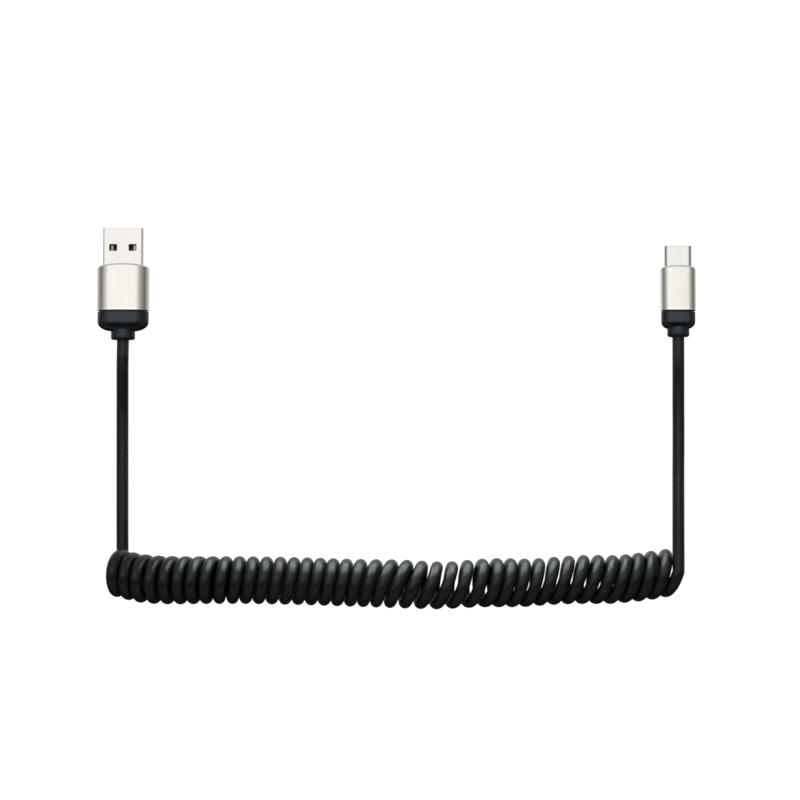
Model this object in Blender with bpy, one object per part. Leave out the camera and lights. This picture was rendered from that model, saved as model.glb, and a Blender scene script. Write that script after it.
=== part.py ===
"""Coiled USB-C cable: a USB-A plug and a USB-C plug joined by a cable whose middle is one long curly coil.

It lies on the plane z = 0. The origin is on that plane, midway between the outer sides of the two plugs
and level with the middle of the USB-A plug. Both plugs point towards +Y, and the coil runs along X.
"""

import math

import bmesh
import bpy
from mathutils import Vector

MM = 0.001

# Gaps
GAP = 0.3 * MM  # between large pieces that touch on the real cable
FIT = 0.1 * MM  # around a shell, inside its sleeve and over its insulator
CONTACT_FIT = 0.05 * MM  # between a contact and the plastic that carries it

# Sections: rounded rectangles with this many steps on each corner and each broad side
CORNER_STEPS = 6
SIDE_STEPS = 6
LEAST_STRAIGHT = 0.03 * MM  # the half side that a full round still leaves straight

# USB-A plug, from its tip backwards
A_X = -83.1 * MM
A_TIP_Y = 17.0 * MM
A_SHELL_WIDTH = 12.0 * MM
A_SHELL_HEIGHT = 4.5 * MM
A_SHELL_WALL = 0.3 * MM
A_SHELL_CORNER = 0.5 * MM
A_SHELL_OUT = 11.0 * MM  # its length in front of the sleeve
A_SHELL_IN = 3.4 * MM  # its length inside the sleeve
A_TIP_CHAMFER = 0.1 * MM
A_WINDOW_WIDTH = 2.4 * MM
A_WINDOW_LENGTH = 2.1 * MM
A_WINDOW_CORNER = 0.35 * MM
A_WINDOW_FROM_TIP = 5.0 * MM
A_WINDOW_SPACING = 5.9 * MM
A_TONGUE_FROM_TIP = 0.4 * MM
A_TONGUE_THICKNESS = 1.85 * MM
A_TONGUE_LENGTH = 8.8 * MM
A_CONTACT_WIDTH = 1.0 * MM
A_CONTACT_THICKNESS = 0.2 * MM
A_CONTACTS = ((-3.5 * MM, 1.3 * MM), (-1.0 * MM, 2.3 * MM), (1.0 * MM, 2.3 * MM), (3.5 * MM, 1.3 * MM))
A_SLEEVE_WIDTH = 15.9 * MM
A_SLEEVE_THICKNESS = 8.0 * MM
A_SLEEVE_CORNER = 4.0 * MM
A_SLEEVE_LENGTH = 14.2 * MM
A_SLEEVE_WALL = 0.6 * MM
A_SLEEVE_FRONT_WALL = 1.6 * MM
A_SLEEVE_CROWN = 0.8 * MM  # how far the middle of its front stands ahead of the sides
A_SLEEVE_FRONT_ROUND = 0.45 * MM
A_CAP_SETBACK = 0.15 * MM  # the boot's cap is this much smaller than the sleeve all round
A_CAP_LENGTH = 3.0 * MM
A_SHOULDER_LENGTH = 2.9 * MM
A_SHOULDER_FALL = 4.3 * MM  # how far its sides round in over that length
A_COLLAR_WIDTH = 7.36 * MM
A_COLLAR_THICKNESS = 6.2 * MM
A_COLLAR_LENGTH = 2.6 * MM
A_COLLAR_ROUND = 0.6 * MM

# USB-C plug, from its tip backwards
C_X = 85.75 * MM
C_TIP_Y = 11.73 * MM
C_SHELL_WIDTH = 8.25 * MM
C_SHELL_HEIGHT = 2.4 * MM
C_SHELL_WALL = 0.2 * MM
C_SHELL_OUT = 6.2 * MM
C_SHELL_IN = 3.0 * MM
C_TIP_CHAMFER = 0.08 * MM
C_INSULATOR_FROM_TIP = 0.3 * MM
C_SLOT_WIDTH = 6.9 * MM
C_SLOT_HEIGHT = 1.1 * MM
C_SLOT_DEPTH = 6.0 * MM
C_CONTACT_COUNT = 12
C_CONTACT_PITCH = 0.5 * MM
C_CONTACT_WIDTH = 0.25 * MM
C_CONTACT_THICKNESS = 0.15 * MM
C_CONTACT_LENGTH = 4.4 * MM
C_CONTACT_ROOT = 0.5 * MM
C_SLEEVE_WIDTH = 10.6 * MM
C_SLEEVE_THICKNESS = 6.9 * MM
C_SLEEVE_CORNER = 2.4 * MM
C_SLEEVE_LENGTH = 13.65 * MM
C_SLEEVE_WALL = 0.6 * MM
C_SLEEVE_FRONT_WALL = 1.4 * MM
C_SLEEVE_CROWN = 0.55 * MM
C_SLEEVE_FRONT_ROUND = 0.4 * MM
C_CAP_SETBACK = 0.15 * MM
C_CAP_LENGTH = 3.0 * MM
C_SHOULDER_LENGTH = 2.2 * MM
C_SHOULDER_FALL = 2.3 * MM
C_COLLAR_WIDTH = 6.8 * MM
C_COLLAR_THICKNESS = 5.8 * MM
C_COLLAR_LENGTH = 2.5 * MM
C_COLLAR_ROUND = 0.8 * MM

SLEEVE_REAR_CHAMFER = 0.12 * MM
ROUND_STEPS = 4
SHOULDER_STEPS = 8

# Cable
CABLE_DIAMETER = 3.7 * MM
COIL_OUTER_DIAMETER = 15.0 * MM
COIL_LEFT_X = -87.9 * MM
COIL_RIGHT_X = 87.6 * MM
ROUTE_STEP = 2.5  # cable diameters between two points of a tail
COIL_STEP = 0.5  # outer diameters between two points along the coil

# Routes through hand-chosen points, in millimetres. The coil's axis is (x, y), its own radius above z = 0.
COIL_AXIS_MM = (
    (-87.9, -87.3), (-77.2, -89.3), (-69.2, -89.9), (-45.3, -89.9), (-29.2, -90.2), (-0.5, -91.0),
    (13.3, -91.5), (27.4, -90.7), (52.9, -89.8), (65.8, -89.7), (75.9, -88.6), (87.6, -87.2),
)
TAIL_A_MM = (
    (-83.2, -24.0, 3.95), (-83.25, -31.0, 3.1), (-83.3, -38.0, 2.2), (-83.3, -45.0, 1.9),
    (-83.25, -55.0, 1.88), (-83.2, -65.0, 1.88), (-83.15, -74.0, 1.88), (-83.1, -81.2, 1.88),
)
TAIL_C_MM = (
    (85.75, -23.0, 3.3), (85.8, -30.0, 2.4), (85.8, -36.0, 1.95), (85.8, -43.0, 1.9),
    (85.7, -50.0, 2.5), (85.45, -57.0, 4.4), (85.15, -64.0, 7.2), (84.85, -71.0, 10.1),
    (84.65, -76.5, 11.9), (84.58, -80.1, 12.55),
)


def clear_scene():
    for obj in list(bpy.data.objects):
        bpy.data.objects.remove(obj, do_unlink=True)


def material(name, color, roughness, metallic=0.0):
    made = bpy.data.materials.new(name)
    made.use_nodes = True
    shader = made.node_tree.nodes["Principled BSDF"]
    shader.inputs["Base Color"].default_value = (*color, 1.0)
    shader.inputs["Roughness"].default_value = roughness
    shader.inputs["Metallic"].default_value = metallic
    return made


def add_object(name, data, finish, location=(0.0, 0.0, 0.0)):
    obj = bpy.data.objects.new(name, data)
    obj.location = location
    obj.data.materials.append(finish)
    bpy.context.scene.collection.objects.link(obj)
    return obj


def add_mesh(name, bm, finish, location, sharp=math.radians(35)):
    bmesh.ops.recalc_face_normals(bm, faces=bm.faces)
    mesh = bpy.data.meshes.new(name)
    bm.to_mesh(mesh)
    bm.free()
    mesh.shade_smooth()
    mesh.set_sharp_from_angle(angle=sharp)
    return add_object(name, mesh, finish, location)


def section(half_width, half_height, corner, y, crown=0.0, crown_width=1.0):
    """A rounded rectangle across Y. With a crown, its points lie further back away from the middle."""
    radius = min(corner, half_width - LEAST_STRAIGHT, half_height - LEAST_STRAIGHT)
    straight = half_width - radius
    outline = []
    for quarter, (side_x, side_z) in enumerate(((1, 1), (-1, 1), (-1, -1), (1, -1))):
        for step in range(CORNER_STEPS + 1):
            angle = (quarter + step / CORNER_STEPS) * math.pi / 2
            x = side_x * straight + radius * math.cos(angle)
            outline.append((x, side_z * (half_height - radius) + radius * math.sin(angle)))
        if side_x == side_z:
            for step in range(1, SIDE_STEPS):
                x = side_x * straight * (1 - 2 * step / SIDE_STEPS)
                outline.append((x, side_z * half_height))
    return [Vector((x, y - crown * (x / crown_width) ** 2, z)) for x, z in outline]


def loft(rings, closed=False):
    """Joins equal rings one after another: into a tube with capped ends, or back to the first ring."""
    bm = bmesh.new()
    rows = [[bm.verts.new(point) for point in ring] for ring in rings]
    pairs = list(zip(rows, rows[1:]))
    if closed:
        pairs.append((rows[-1], rows[0]))
    for first, second in pairs:
        for i in range(len(first)):
            j = (i + 1) % len(first)
            bm.faces.new((first[i], first[j], second[j], second[i]))
    if not closed:
        bm.faces.new(rows[0])
        bm.faces.new(rows[-1])
    return bm


def extruded_outline(outline, depth):
    """A flat outline of 3-D points given a thickness along the vector depth."""
    bm = bmesh.new()
    face = bm.faces.new([bm.verts.new(point) for point in outline])
    grown = bmesh.ops.extrude_face_region(bm, geom=[face])
    new_verts = [item for item in grown["geom"] if isinstance(item, bmesh.types.BMVert)]
    bmesh.ops.translate(bm, vec=depth, verts=new_verts)
    return bm


def shell(name, width, height, corner, wall, length, chamfer, finish, location):
    """A thin sheet-metal tube, open at both ends, its outer edge broken at the tip, which is at y = 0."""
    half_w = width / 2
    half_h = height / 2
    rings = [
        section(half_w, half_h, corner, -length),
        section(half_w, half_h, corner, -chamfer),
        section(half_w - chamfer, half_h - chamfer, corner - chamfer, 0.0),
        section(half_w - wall, half_h - wall, corner - wall, 0.0),
        section(half_w - wall, half_h - wall, corner - wall, -length),
    ]
    return add_mesh(name, loft(rings, closed=True), finish, location)


def cut_windows(target):
    """Two windows through each broad side of the USB-A shell."""
    for number, side in enumerate((-1, 1), start=1):
        half_w = A_WINDOW_WIDTH / 2
        half_l = A_WINDOW_LENGTH / 2
        outline = [Vector((p.x, p.z, 0.0)) for p in section(half_w, half_l, A_WINDOW_CORNER, 0.0)]
        bm = extruded_outline(outline, Vector((0.0, 0.0, 2 * A_SHELL_HEIGHT)))
        centre = Vector((side * A_WINDOW_SPACING / 2, -A_WINDOW_FROM_TIP - half_l, -A_SHELL_HEIGHT))
        cutter = add_mesh(f"window_cutter_{number}", bm, target.data.materials[0], target.location + centre)
        cutter.hide_render = True
        cutter.display_type = "WIRE"
        cut = target.modifiers.new(f"window_{number}", "BOOLEAN")
        cut.operation = "DIFFERENCE"
        cut.solver = "EXACT"
        cut.object = cutter


def sleeve(name, size, slot, finish, location):
    """A drawn metal cup, open at the back. Its crowned front wall, at y = 0, has a slot for the shell."""
    width, thickness, corner, length, wall, front_wall, crown, front_round = size
    half_w = width / 2
    half_h = thickness / 2
    chamfer = SLEEVE_REAR_CHAMFER
    rings = [
        section(half_w - chamfer, half_h - chamfer, corner - chamfer, -length),
        section(half_w, half_h, corner, -length + chamfer),
    ]
    for step in range(ROUND_STEPS + 1):
        angle = step / ROUND_STEPS * math.pi / 2
        inset = front_round * (1 - math.cos(angle))
        y = -front_round * (1 - math.sin(angle))
        rings.append(section(half_w - inset, half_h - inset, corner - inset, y, crown, half_w))
    slot_w, slot_h, slot_corner = slot
    rings.append(section(slot_w / 2, slot_h / 2, slot_corner, 0.0, crown, half_w))
    rings.append(section(slot_w / 2, slot_h / 2, slot_corner, -front_wall))
    rings.append(section(half_w - wall, half_h - wall, corner - wall, -front_wall))
    rings.append(section(half_w - wall, half_h - wall, corner - wall, -length))
    return add_mesh(name, loft(rings, closed=True), finish, location)


def shrunk(ring, y, scale, least_width, least_height):
    """A ring scaled about its axis and moved to y, but nowhere inside an oval of the least half sizes."""
    points = []
    for point in ring:
        oval = 1 / math.hypot(point.x / least_width, point.z / least_height)
        size = max(scale, oval)
        points.append(Vector((size * point.x, y, size * point.z)))
    return points


def boot(name, core, cap, collar, finish, location):
    """The moulded rear of a plug: a core inside the sleeve, a cap, a shoulder and a collar round the cable.

    The front of the cap is at y = 0.
    """
    core_w, core_h, core_corner, core_length = core
    cap_w, cap_h, cap_corner, cap_length, shoulder_length, shoulder_fall = cap
    collar_w, collar_h, collar_length, collar_round = collar
    cap_ring = section(cap_w, cap_h, cap_corner, 0.0)
    rings = [
        section(core_w, core_h, core_corner, core_length),
        section(core_w, core_h, core_corner, 0.0),
        cap_ring,
    ]
    for step in range(SHOULDER_STEPS + 1):
        angle = step / SHOULDER_STEPS * math.pi / 2
        scale = 1 - shoulder_fall / cap_w * (1 - math.cos(angle))
        y = -cap_length - shoulder_length * math.sin(angle)
        rings.append(shrunk(cap_ring, y, scale, collar_w, collar_h))
    end = -cap_length - shoulder_length - collar_length
    for step in range(ROUND_STEPS + 1):
        angle = step / ROUND_STEPS * math.pi / 2
        inset = collar_round * (1 - math.cos(angle))
        y = end + collar_round * (1 - math.sin(angle))
        rings.append(shrunk(cap_ring, y, 0.0, collar_w - inset, collar_h - inset))
    return add_mesh(name, loft(rings), finish, location)


def build_usb_a(finishes):
    axis_z = A_SLEEVE_THICKNESS / 2
    tip = Vector((A_X, A_TIP_Y, axis_z))
    shell_length = A_SHELL_OUT + A_SHELL_IN
    body = shell(
        "usb_a_shell", A_SHELL_WIDTH, A_SHELL_HEIGHT, A_SHELL_CORNER, A_SHELL_WALL, shell_length,
        A_TIP_CHAMFER, finishes["shell"], tip,
    )
    cut_windows(body)

    half_w = A_SHELL_WIDTH / 2 - A_SHELL_WALL - FIT
    half_h = A_SHELL_HEIGHT / 2 - A_SHELL_WALL - FIT
    tongue_top = -half_h + A_TONGUE_THICKNESS
    tongue_front = -A_TONGUE_FROM_TIP
    tongue_back = tongue_front - A_TONGUE_LENGTH
    outline = [
        Vector((-half_w, tongue_front, -half_h)),
        Vector((-half_w, tongue_front, tongue_top)),
        Vector((-half_w, tongue_back, tongue_top)),
        Vector((-half_w, tongue_back, half_h)),
        Vector((-half_w, -shell_length, half_h)),
        Vector((-half_w, -shell_length, -half_h)),
    ]
    bm = extruded_outline(outline, Vector((2 * half_w, 0.0, 0.0)))
    add_mesh("usb_a_insulator", bm, finishes["insulator"], tip)

    for number, (x, from_tip) in enumerate(A_CONTACTS, start=1):
        low = x - A_CONTACT_WIDTH / 2
        high = x + A_CONTACT_WIDTH / 2
        z = tongue_top + CONTACT_FIT
        back = tongue_back + CONTACT_FIT
        outline = [
            Vector((low, -from_tip, z)),
            Vector((high, -from_tip, z)),
            Vector((high, back, z)),
            Vector((low, back, z)),
        ]
        bm = extruded_outline(outline, Vector((0.0, 0.0, A_CONTACT_THICKNESS)))
        add_mesh(f"usb_a_contact_{number}", bm, finishes["contact"], tip)

    sleeve_front = A_TIP_Y - A_SHELL_OUT
    size = (
        A_SLEEVE_WIDTH, A_SLEEVE_THICKNESS, A_SLEEVE_CORNER, A_SLEEVE_LENGTH, A_SLEEVE_WALL,
        A_SLEEVE_FRONT_WALL, A_SLEEVE_CROWN, A_SLEEVE_FRONT_ROUND,
    )
    slot = (A_SHELL_WIDTH + 2 * FIT, A_SHELL_HEIGHT + 2 * FIT, A_SHELL_CORNER + FIT)
    sleeve("usb_a_sleeve", size, slot, finishes["sleeve"], Vector((A_X, sleeve_front, axis_z)))

    cap_front = sleeve_front - A_SLEEVE_LENGTH - GAP
    inset = A_SLEEVE_WALL + GAP
    core_length = A_SLEEVE_LENGTH + GAP - A_SHELL_IN - GAP
    core = (A_SLEEVE_WIDTH / 2 - inset, A_SLEEVE_THICKNESS / 2 - inset, A_SLEEVE_CORNER - inset, core_length)
    cap = (
        A_SLEEVE_WIDTH / 2 - A_CAP_SETBACK, A_SLEEVE_THICKNESS / 2 - A_CAP_SETBACK,
        A_SLEEVE_CORNER - A_CAP_SETBACK, A_CAP_LENGTH, A_SHOULDER_LENGTH, A_SHOULDER_FALL,
    )
    collar = (A_COLLAR_WIDTH / 2, A_COLLAR_THICKNESS / 2, A_COLLAR_LENGTH, A_COLLAR_ROUND)
    boot("usb_a_boot", core, cap, collar, finishes["boot"], Vector((A_X, cap_front, axis_z)))
    rear = cap_front - A_CAP_LENGTH - A_SHOULDER_LENGTH - A_COLLAR_LENGTH
    return Vector((A_X, rear, axis_z))


def contact_comb():
    """The outline of one row of contacts, joined across their roots. The contacts' free ends are at y = 0."""
    first_x = -(C_CONTACT_COUNT - 1) / 2 * C_CONTACT_PITCH
    root = -C_CONTACT_LENGTH
    points = []
    for index in range(C_CONTACT_COUNT):
        low = first_x + index * C_CONTACT_PITCH - C_CONTACT_WIDTH / 2
        high = low + C_CONTACT_WIDTH
        points += [(low, root), (low, 0.0), (high, 0.0), (high, root)]
    points += [(points[-1][0], root - C_CONTACT_ROOT), (points[0][0], root - C_CONTACT_ROOT)]
    return points


def build_usb_c(finishes):
    axis_z = C_SLEEVE_THICKNESS / 2
    tip = Vector((C_X, C_TIP_Y, axis_z))
    corner = C_SHELL_HEIGHT / 2
    shell_length = C_SHELL_OUT + C_SHELL_IN
    shell(
        "usb_c_shell", C_SHELL_WIDTH, C_SHELL_HEIGHT, corner, C_SHELL_WALL, shell_length,
        C_TIP_CHAMFER, finishes["shell"], tip,
    )

    half_w = C_SHELL_WIDTH / 2 - C_SHELL_WALL - FIT
    half_h = C_SHELL_HEIGHT / 2 - C_SHELL_WALL - FIT
    front = -C_INSULATOR_FROM_TIP
    slot_corner = C_SLOT_HEIGHT / 2
    rings = [
        section(half_w, half_h, half_h, -shell_length),
        section(half_w, half_h, half_h, front),
        section(C_SLOT_WIDTH / 2, C_SLOT_HEIGHT / 2, slot_corner, front),
        section(C_SLOT_WIDTH / 2, C_SLOT_HEIGHT / 2, slot_corner, front - C_SLOT_DEPTH),
    ]
    add_mesh("usb_c_insulator", loft(rings), finishes["insulator"], tip)

    comb = contact_comb()
    comb_front = front - C_SLOT_DEPTH + C_CONTACT_LENGTH + C_CONTACT_ROOT + CONTACT_FIT
    for row, side in (("upper", 1), ("lower", -1)):
        z = side * (C_SLOT_HEIGHT / 2 - CONTACT_FIT)
        outline = [Vector((x, y, z)) for x, y in comb]
        bm = extruded_outline(outline, Vector((0.0, 0.0, -side * C_CONTACT_THICKNESS)))
        place = tip + Vector((0.0, comb_front, 0.0))
        add_mesh(f"usb_c_contacts_{row}", bm, finishes["contact"], place)

    sleeve_front = C_TIP_Y - C_SHELL_OUT
    size = (
        C_SLEEVE_WIDTH, C_SLEEVE_THICKNESS, C_SLEEVE_CORNER, C_SLEEVE_LENGTH, C_SLEEVE_WALL,
        C_SLEEVE_FRONT_WALL, C_SLEEVE_CROWN, C_SLEEVE_FRONT_ROUND,
    )
    slot = (C_SHELL_WIDTH + 2 * FIT, C_SHELL_HEIGHT + 2 * FIT, corner + FIT)
    sleeve("usb_c_sleeve", size, slot, finishes["sleeve"], Vector((C_X, sleeve_front, axis_z)))

    cap_front = sleeve_front - C_SLEEVE_LENGTH - GAP
    inset = C_SLEEVE_WALL + GAP
    core_length = C_SLEEVE_LENGTH + GAP - C_SHELL_IN - GAP
    core = (C_SLEEVE_WIDTH / 2 - inset, C_SLEEVE_THICKNESS / 2 - inset, C_SLEEVE_CORNER - inset, core_length)
    cap = (
        C_SLEEVE_WIDTH / 2 - C_CAP_SETBACK, C_SLEEVE_THICKNESS / 2 - C_CAP_SETBACK,
        C_SLEEVE_CORNER - C_CAP_SETBACK, C_CAP_LENGTH, C_SHOULDER_LENGTH, C_SHOULDER_FALL,
    )
    collar = (C_COLLAR_WIDTH / 2, C_COLLAR_THICKNESS / 2, C_COLLAR_LENGTH, C_COLLAR_ROUND)
    boot("usb_c_boot", core, cap, collar, finishes["boot"], Vector((C_X, cap_front, axis_z)))
    rear = cap_front - C_CAP_LENGTH - C_SHOULDER_LENGTH - C_COLLAR_LENGTH
    return Vector((C_X, rear, axis_z))


def smooth_route(points, spacing):
    """Points at an even spacing along a Catmull-Rom curve through the given ones."""
    padded = [2 * points[0] - points[1], *points, 2 * points[-1] - points[-2]]
    dense = []
    for a, b, c, d in zip(padded, padded[1:], padded[2:], padded[3:]):
        for step in range(16):
            t = step / 16
            bend = (2 * a - 5 * b + 4 * c - d) * t**2 + (3 * b - a - 3 * c + d) * t**3
            dense.append(0.5 * (2 * b + (c - a) * t + bend))
    dense.append(points[-1])
    lengths = [0.0]
    for a, b in zip(dense, dense[1:]):
        lengths.append(lengths[-1] + (b - a).length)
    count = max(2, round(lengths[-1] / spacing))
    route = []
    at = 0
    for index in range(count + 1):
        wanted = lengths[-1] * index / count
        while at < len(dense) - 2 and lengths[at + 1] < wanted:
            at += 1
        share = (wanted - lengths[at]) / (lengths[at + 1] - lengths[at])
        route.append(dense[at].lerp(dense[at + 1], min(share, 1.0)))
    return route


def tube(name, points, radius, resolution, finish):
    """A solid round bar along the points."""
    curve = bpy.data.curves.new(name, "CURVE")
    curve.dimensions = "3D"
    curve.bevel_depth = radius
    curve.bevel_resolution = resolution
    curve.use_fill_caps = True
    spline = curve.splines.new("POLY")
    spline.points.add(len(points) - 1)
    for target, point in zip(spline.points, points):
        target.co = (*point, 1.0)
    return add_object(name, curve, finish)


def build_cable(exit_a, exit_c, finish):
    gap = Vector((0.0, GAP, 0.0))
    for name, start, inner in (("cable_tail_a", exit_a, TAIL_A_MM), ("cable_tail_c", exit_c, TAIL_C_MM)):
        points = [start - gap] + [Vector(point) * MM for point in inner]
        tube(name, smooth_route(points, ROUTE_STEP * CABLE_DIAMETER), CABLE_DIAMETER / 2, 2, finish)
    radius = COIL_OUTER_DIAMETER / 2
    axis = [Vector((x * MM, y * MM, radius)) for x, y in COIL_AXIS_MM]
    axis[0].x = COIL_LEFT_X
    axis[-1].x = COIL_RIGHT_X
    tube("cable_coil", smooth_route(axis, COIL_STEP * COIL_OUTER_DIAMETER), radius, 6, finish)


def main():
    clear_scene()
    finishes = {
        "shell": material("nickel_plate", (0.78, 0.78, 0.77), 0.28, 1.0),
        "sleeve": material("satin_aluminium", (0.80, 0.77, 0.71), 0.38, 1.0),
        "insulator": material("black_insulator", (0.02, 0.02, 0.02), 0.5),
        "contact": material("gold_contact", (0.83, 0.62, 0.27), 0.3, 1.0),
        "boot": material("black_boot", (0.018, 0.019, 0.02), 0.42),
        "cable": material("black_jacket", (0.016, 0.018, 0.02), 0.5),
    }
    exit_a = build_usb_a(finishes)
    exit_c = build_usb_c(finishes)
    build_cable(exit_a, exit_c, finishes["cable"])


main()
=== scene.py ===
"""Looks of the coiled USB-C cable: one moulded cable with a curly coil, and the plugs on its two ends.

Everything is in metres, in the frame of the model that is loaded first. X runs along the coil, +Y is the way
both plugs point, and the cable lies on the floor at z = 0. The near side is at low Y, the bottom of the view.
"""
import math

import bmesh
import bpy
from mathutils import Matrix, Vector


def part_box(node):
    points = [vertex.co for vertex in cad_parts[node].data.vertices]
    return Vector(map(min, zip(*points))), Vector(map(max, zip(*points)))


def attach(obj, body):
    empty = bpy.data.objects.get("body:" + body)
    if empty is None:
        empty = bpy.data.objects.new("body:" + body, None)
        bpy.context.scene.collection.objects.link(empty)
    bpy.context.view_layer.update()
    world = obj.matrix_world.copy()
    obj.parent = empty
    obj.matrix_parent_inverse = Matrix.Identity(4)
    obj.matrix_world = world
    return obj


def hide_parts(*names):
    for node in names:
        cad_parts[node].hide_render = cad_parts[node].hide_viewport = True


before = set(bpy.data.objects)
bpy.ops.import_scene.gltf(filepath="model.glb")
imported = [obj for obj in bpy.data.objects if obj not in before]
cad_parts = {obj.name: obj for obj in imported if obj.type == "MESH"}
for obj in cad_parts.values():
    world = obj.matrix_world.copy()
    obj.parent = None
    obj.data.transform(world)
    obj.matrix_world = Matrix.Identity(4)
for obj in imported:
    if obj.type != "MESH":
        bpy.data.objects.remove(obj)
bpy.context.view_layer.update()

MM = 0.001

# Camera: a long lens that looks almost straight down, from slightly towards the coil
VIEW_CENTRE = Vector((1.1, -35.4, 5.0)) * MM
VIEW_WIDTH = 242.6 * MM
VIEW_DISTANCE = 900.0 * MM
VIEW_TILT = math.radians(3.5)
SENSOR_MM = 36.0
CLIP_START = 10.0 * MM

# Cable
CABLE_DIAMETER = 3.7 * MM
CABLE_RADIUS = CABLE_DIAMETER / 2
FLOOR_CLEARANCE = 0.05 * MM
CABLE_INSIDE_BOOT = 2.4 * MM
BORE_CLEARANCE = 0.04 * MM
RING_RESOLUTION = 6
POINTS_PER_TURN = 32
ROUTE_STEP = 1.2 * MM

# The straight ends, from the collar of each plug to the coil, in metres
TAIL_A = (
    (-0.0832, -0.0240, 0.00395), (-0.08325, -0.0310, 0.0031), (-0.0833, -0.0380, 0.0022),
    (-0.0833, -0.0450, 0.0019), (-0.08325, -0.0550, 0.00188), (-0.0832, -0.0650, 0.00188),
    (-0.08315, -0.0740, 0.00188), (-0.0831, -0.0812, 0.00188),
)
TAIL_C = (
    (0.08575, -0.0230, 0.0033), (0.0858, -0.0300, 0.0024), (0.0858, -0.0360, 0.00195),
    (0.0858, -0.0430, 0.0019), (0.0857, -0.0500, 0.0025), (0.08545, -0.0570, 0.0044),
    (0.08515, -0.0640, 0.0072), (0.08485, -0.0710, 0.0101), (0.08465, -0.0765, 0.0119),
    (0.08458, -0.0801, 0.01255),
)

# The coil: turn, x and y of its axis, radius to the middle of the cable, half of how far each turn's far side
# trails its near side along X, and half of how far its upper side leads its lower one, all but the turn in mm
COIL_FIRST_TURN = -0.25
COIL_LAST_TURN = 40.25
COIL_STOPS = (
    (0, -84.2, -87.6, 5.6, 0.2, -1.8),
    (2, -77.2, -89.3, 5.6, 0.3, -1.9),
    (4, -69.2, -89.9, 5.5, 0.3, -1.7),
    (7.5, -55.3, -89.9, 5.4, 0.0, -1.1),
    (8.5, -51.3, -89.9, 5.4, 0.0, -0.2),
    (10, -45.3, -89.9, 5.4, -0.1, 0.2),
    (14, -29.2, -90.2, 5.4, -0.4, 0.3),
    (18, -13.4, -90.7, 5.4, -0.5, 0.1),
    (21, -0.5, -91.0, 5.5, -1.4, -0.2),
    (24, 13.3, -91.5, 5.4, -1.2, 0.8),
    (25.5, 20.4, -91.1, 5.5, -1.0, 1.1),
    (27, 27.4, -90.7, 5.6, -0.7, 1.5),
    (28.5, 33.6, -90.7, 5.6, -0.8, 1.2),
    (30, 39.8, -90.7, 5.5, -0.9, 1.1),
    (31.5, 46.4, -90.2, 5.5, -1.1, 0.8),
    (33, 52.9, -89.8, 5.6, -1.3, 0.75),
    (34.5, 59.4, -89.7, 5.6, -1.4, 1.1),
    (36, 65.8, -89.7, 5.6, -1.4, 1.0),
    (38.5, 75.9, -88.6, 5.7, -0.9, 1.1),
    (40.25, 83.3, -87.5, 5.6, -1.2, 1.2),
)

# Shapes: steps round each corner of a section, along its broad sides and over a rounded edge
CORNER_STEPS = 20
SIDE_STEPS = 16
ROUND_STEPS = 8
BEVEL_STEPS = 3
CORNER_SIDES = ((1, 1), (-1, 1), (-1, -1), (1, -1))  # the corners of a rectangle, in turn
LEAST_STRAIGHT = 0.02 * MM
MERGE_DISTANCE = 0.0001 * MM
SHARP_ANGLE = math.radians(40.0)
CUTTER_REACH = 1.0 * MM  # how far a cutter goes past what it cuts

# USB-A details that the frame's boxes don't give
A_SHELL_WALL = 0.3 * MM
A_SHELL_CORNER = 0.5 * MM
A_TIP_ROUND = 0.16 * MM
A_WINDOW = (2.4 * MM, 2.1 * MM, 0.35 * MM)  # across, along and its corner radius
A_WINDOW_FROM_TIP = 5.0 * MM
A_WINDOW_SPACING = 5.9 * MM
A_WINDOW_STEPS = 8
A_SEAM_WIDTH = 0.08 * MM
A_SEAM_KEY = (3.4 * MM, 2.6 * MM, 1.5 * MM)  # the lock's distance from the tip, its length and its reach
A_TONGUE_THICKNESS = 1.85 * MM
A_TONGUE_LENGTH = 8.8 * MM
A_TONGUE_EDGE = 0.12 * MM
A_CONTACT_COUNT = 4
A_CONTACT_EDGE = 0.06 * MM
A_SLEEVE_CORNER = 4.0 * MM
A_SLEEVE_CROWN = 0.8 * MM
A_SLEEVE_FRONT_WALL = 1.6 * MM
A_COLLAR = (7.36 * MM, 6.2 * MM, 2.6 * MM, 0.6 * MM)  # width, thickness, length and rounding
A_CAP = (3.0 * MM, 2.9 * MM, 4.3 * MM)  # the cap's length, the shoulder's, and how far its sides come in

# USB-C details that the frame's boxes don't give
C_SHELL_WALL = 0.2 * MM
C_TIP_ROUND = 0.16 * MM
C_SLOT = (6.9 * MM, 1.1 * MM, 6.0 * MM)  # width, height and depth
C_SLOT_LEAD = 0.1 * MM  # the chamfers at its mouth and round the front of its body
C_CONTACT_COUNT = 12
C_CONTACT_PITCH = 0.5 * MM
C_CONTACT_WIDTH = 0.24 * MM
C_CONTACT_EDGE = 0.03 * MM
C_SLEEVE_CORNER = 2.4 * MM
C_SLEEVE_CROWN = 0.55 * MM
C_SLEEVE_FRONT_WALL = 1.4 * MM
C_COLLAR = (6.8 * MM, 5.8 * MM, 2.5 * MM, 0.8 * MM)
C_CAP = (3.0 * MM, 2.2 * MM, 2.3 * MM)

# Details that both plugs share
INNER_CORNER_LOSS = 0.6  # the share of a shell's wall by which its inner corners are tighter
TIP_CORNER_LOSS = 0.5  # the share of its rolled edge's inset by which the corners there are tighter
SLOT_CLEARANCE = 0.1 * MM
CORE_CLEARANCE = 0.3 * MM
SLEEVE_WALL = 0.6 * MM
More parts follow.
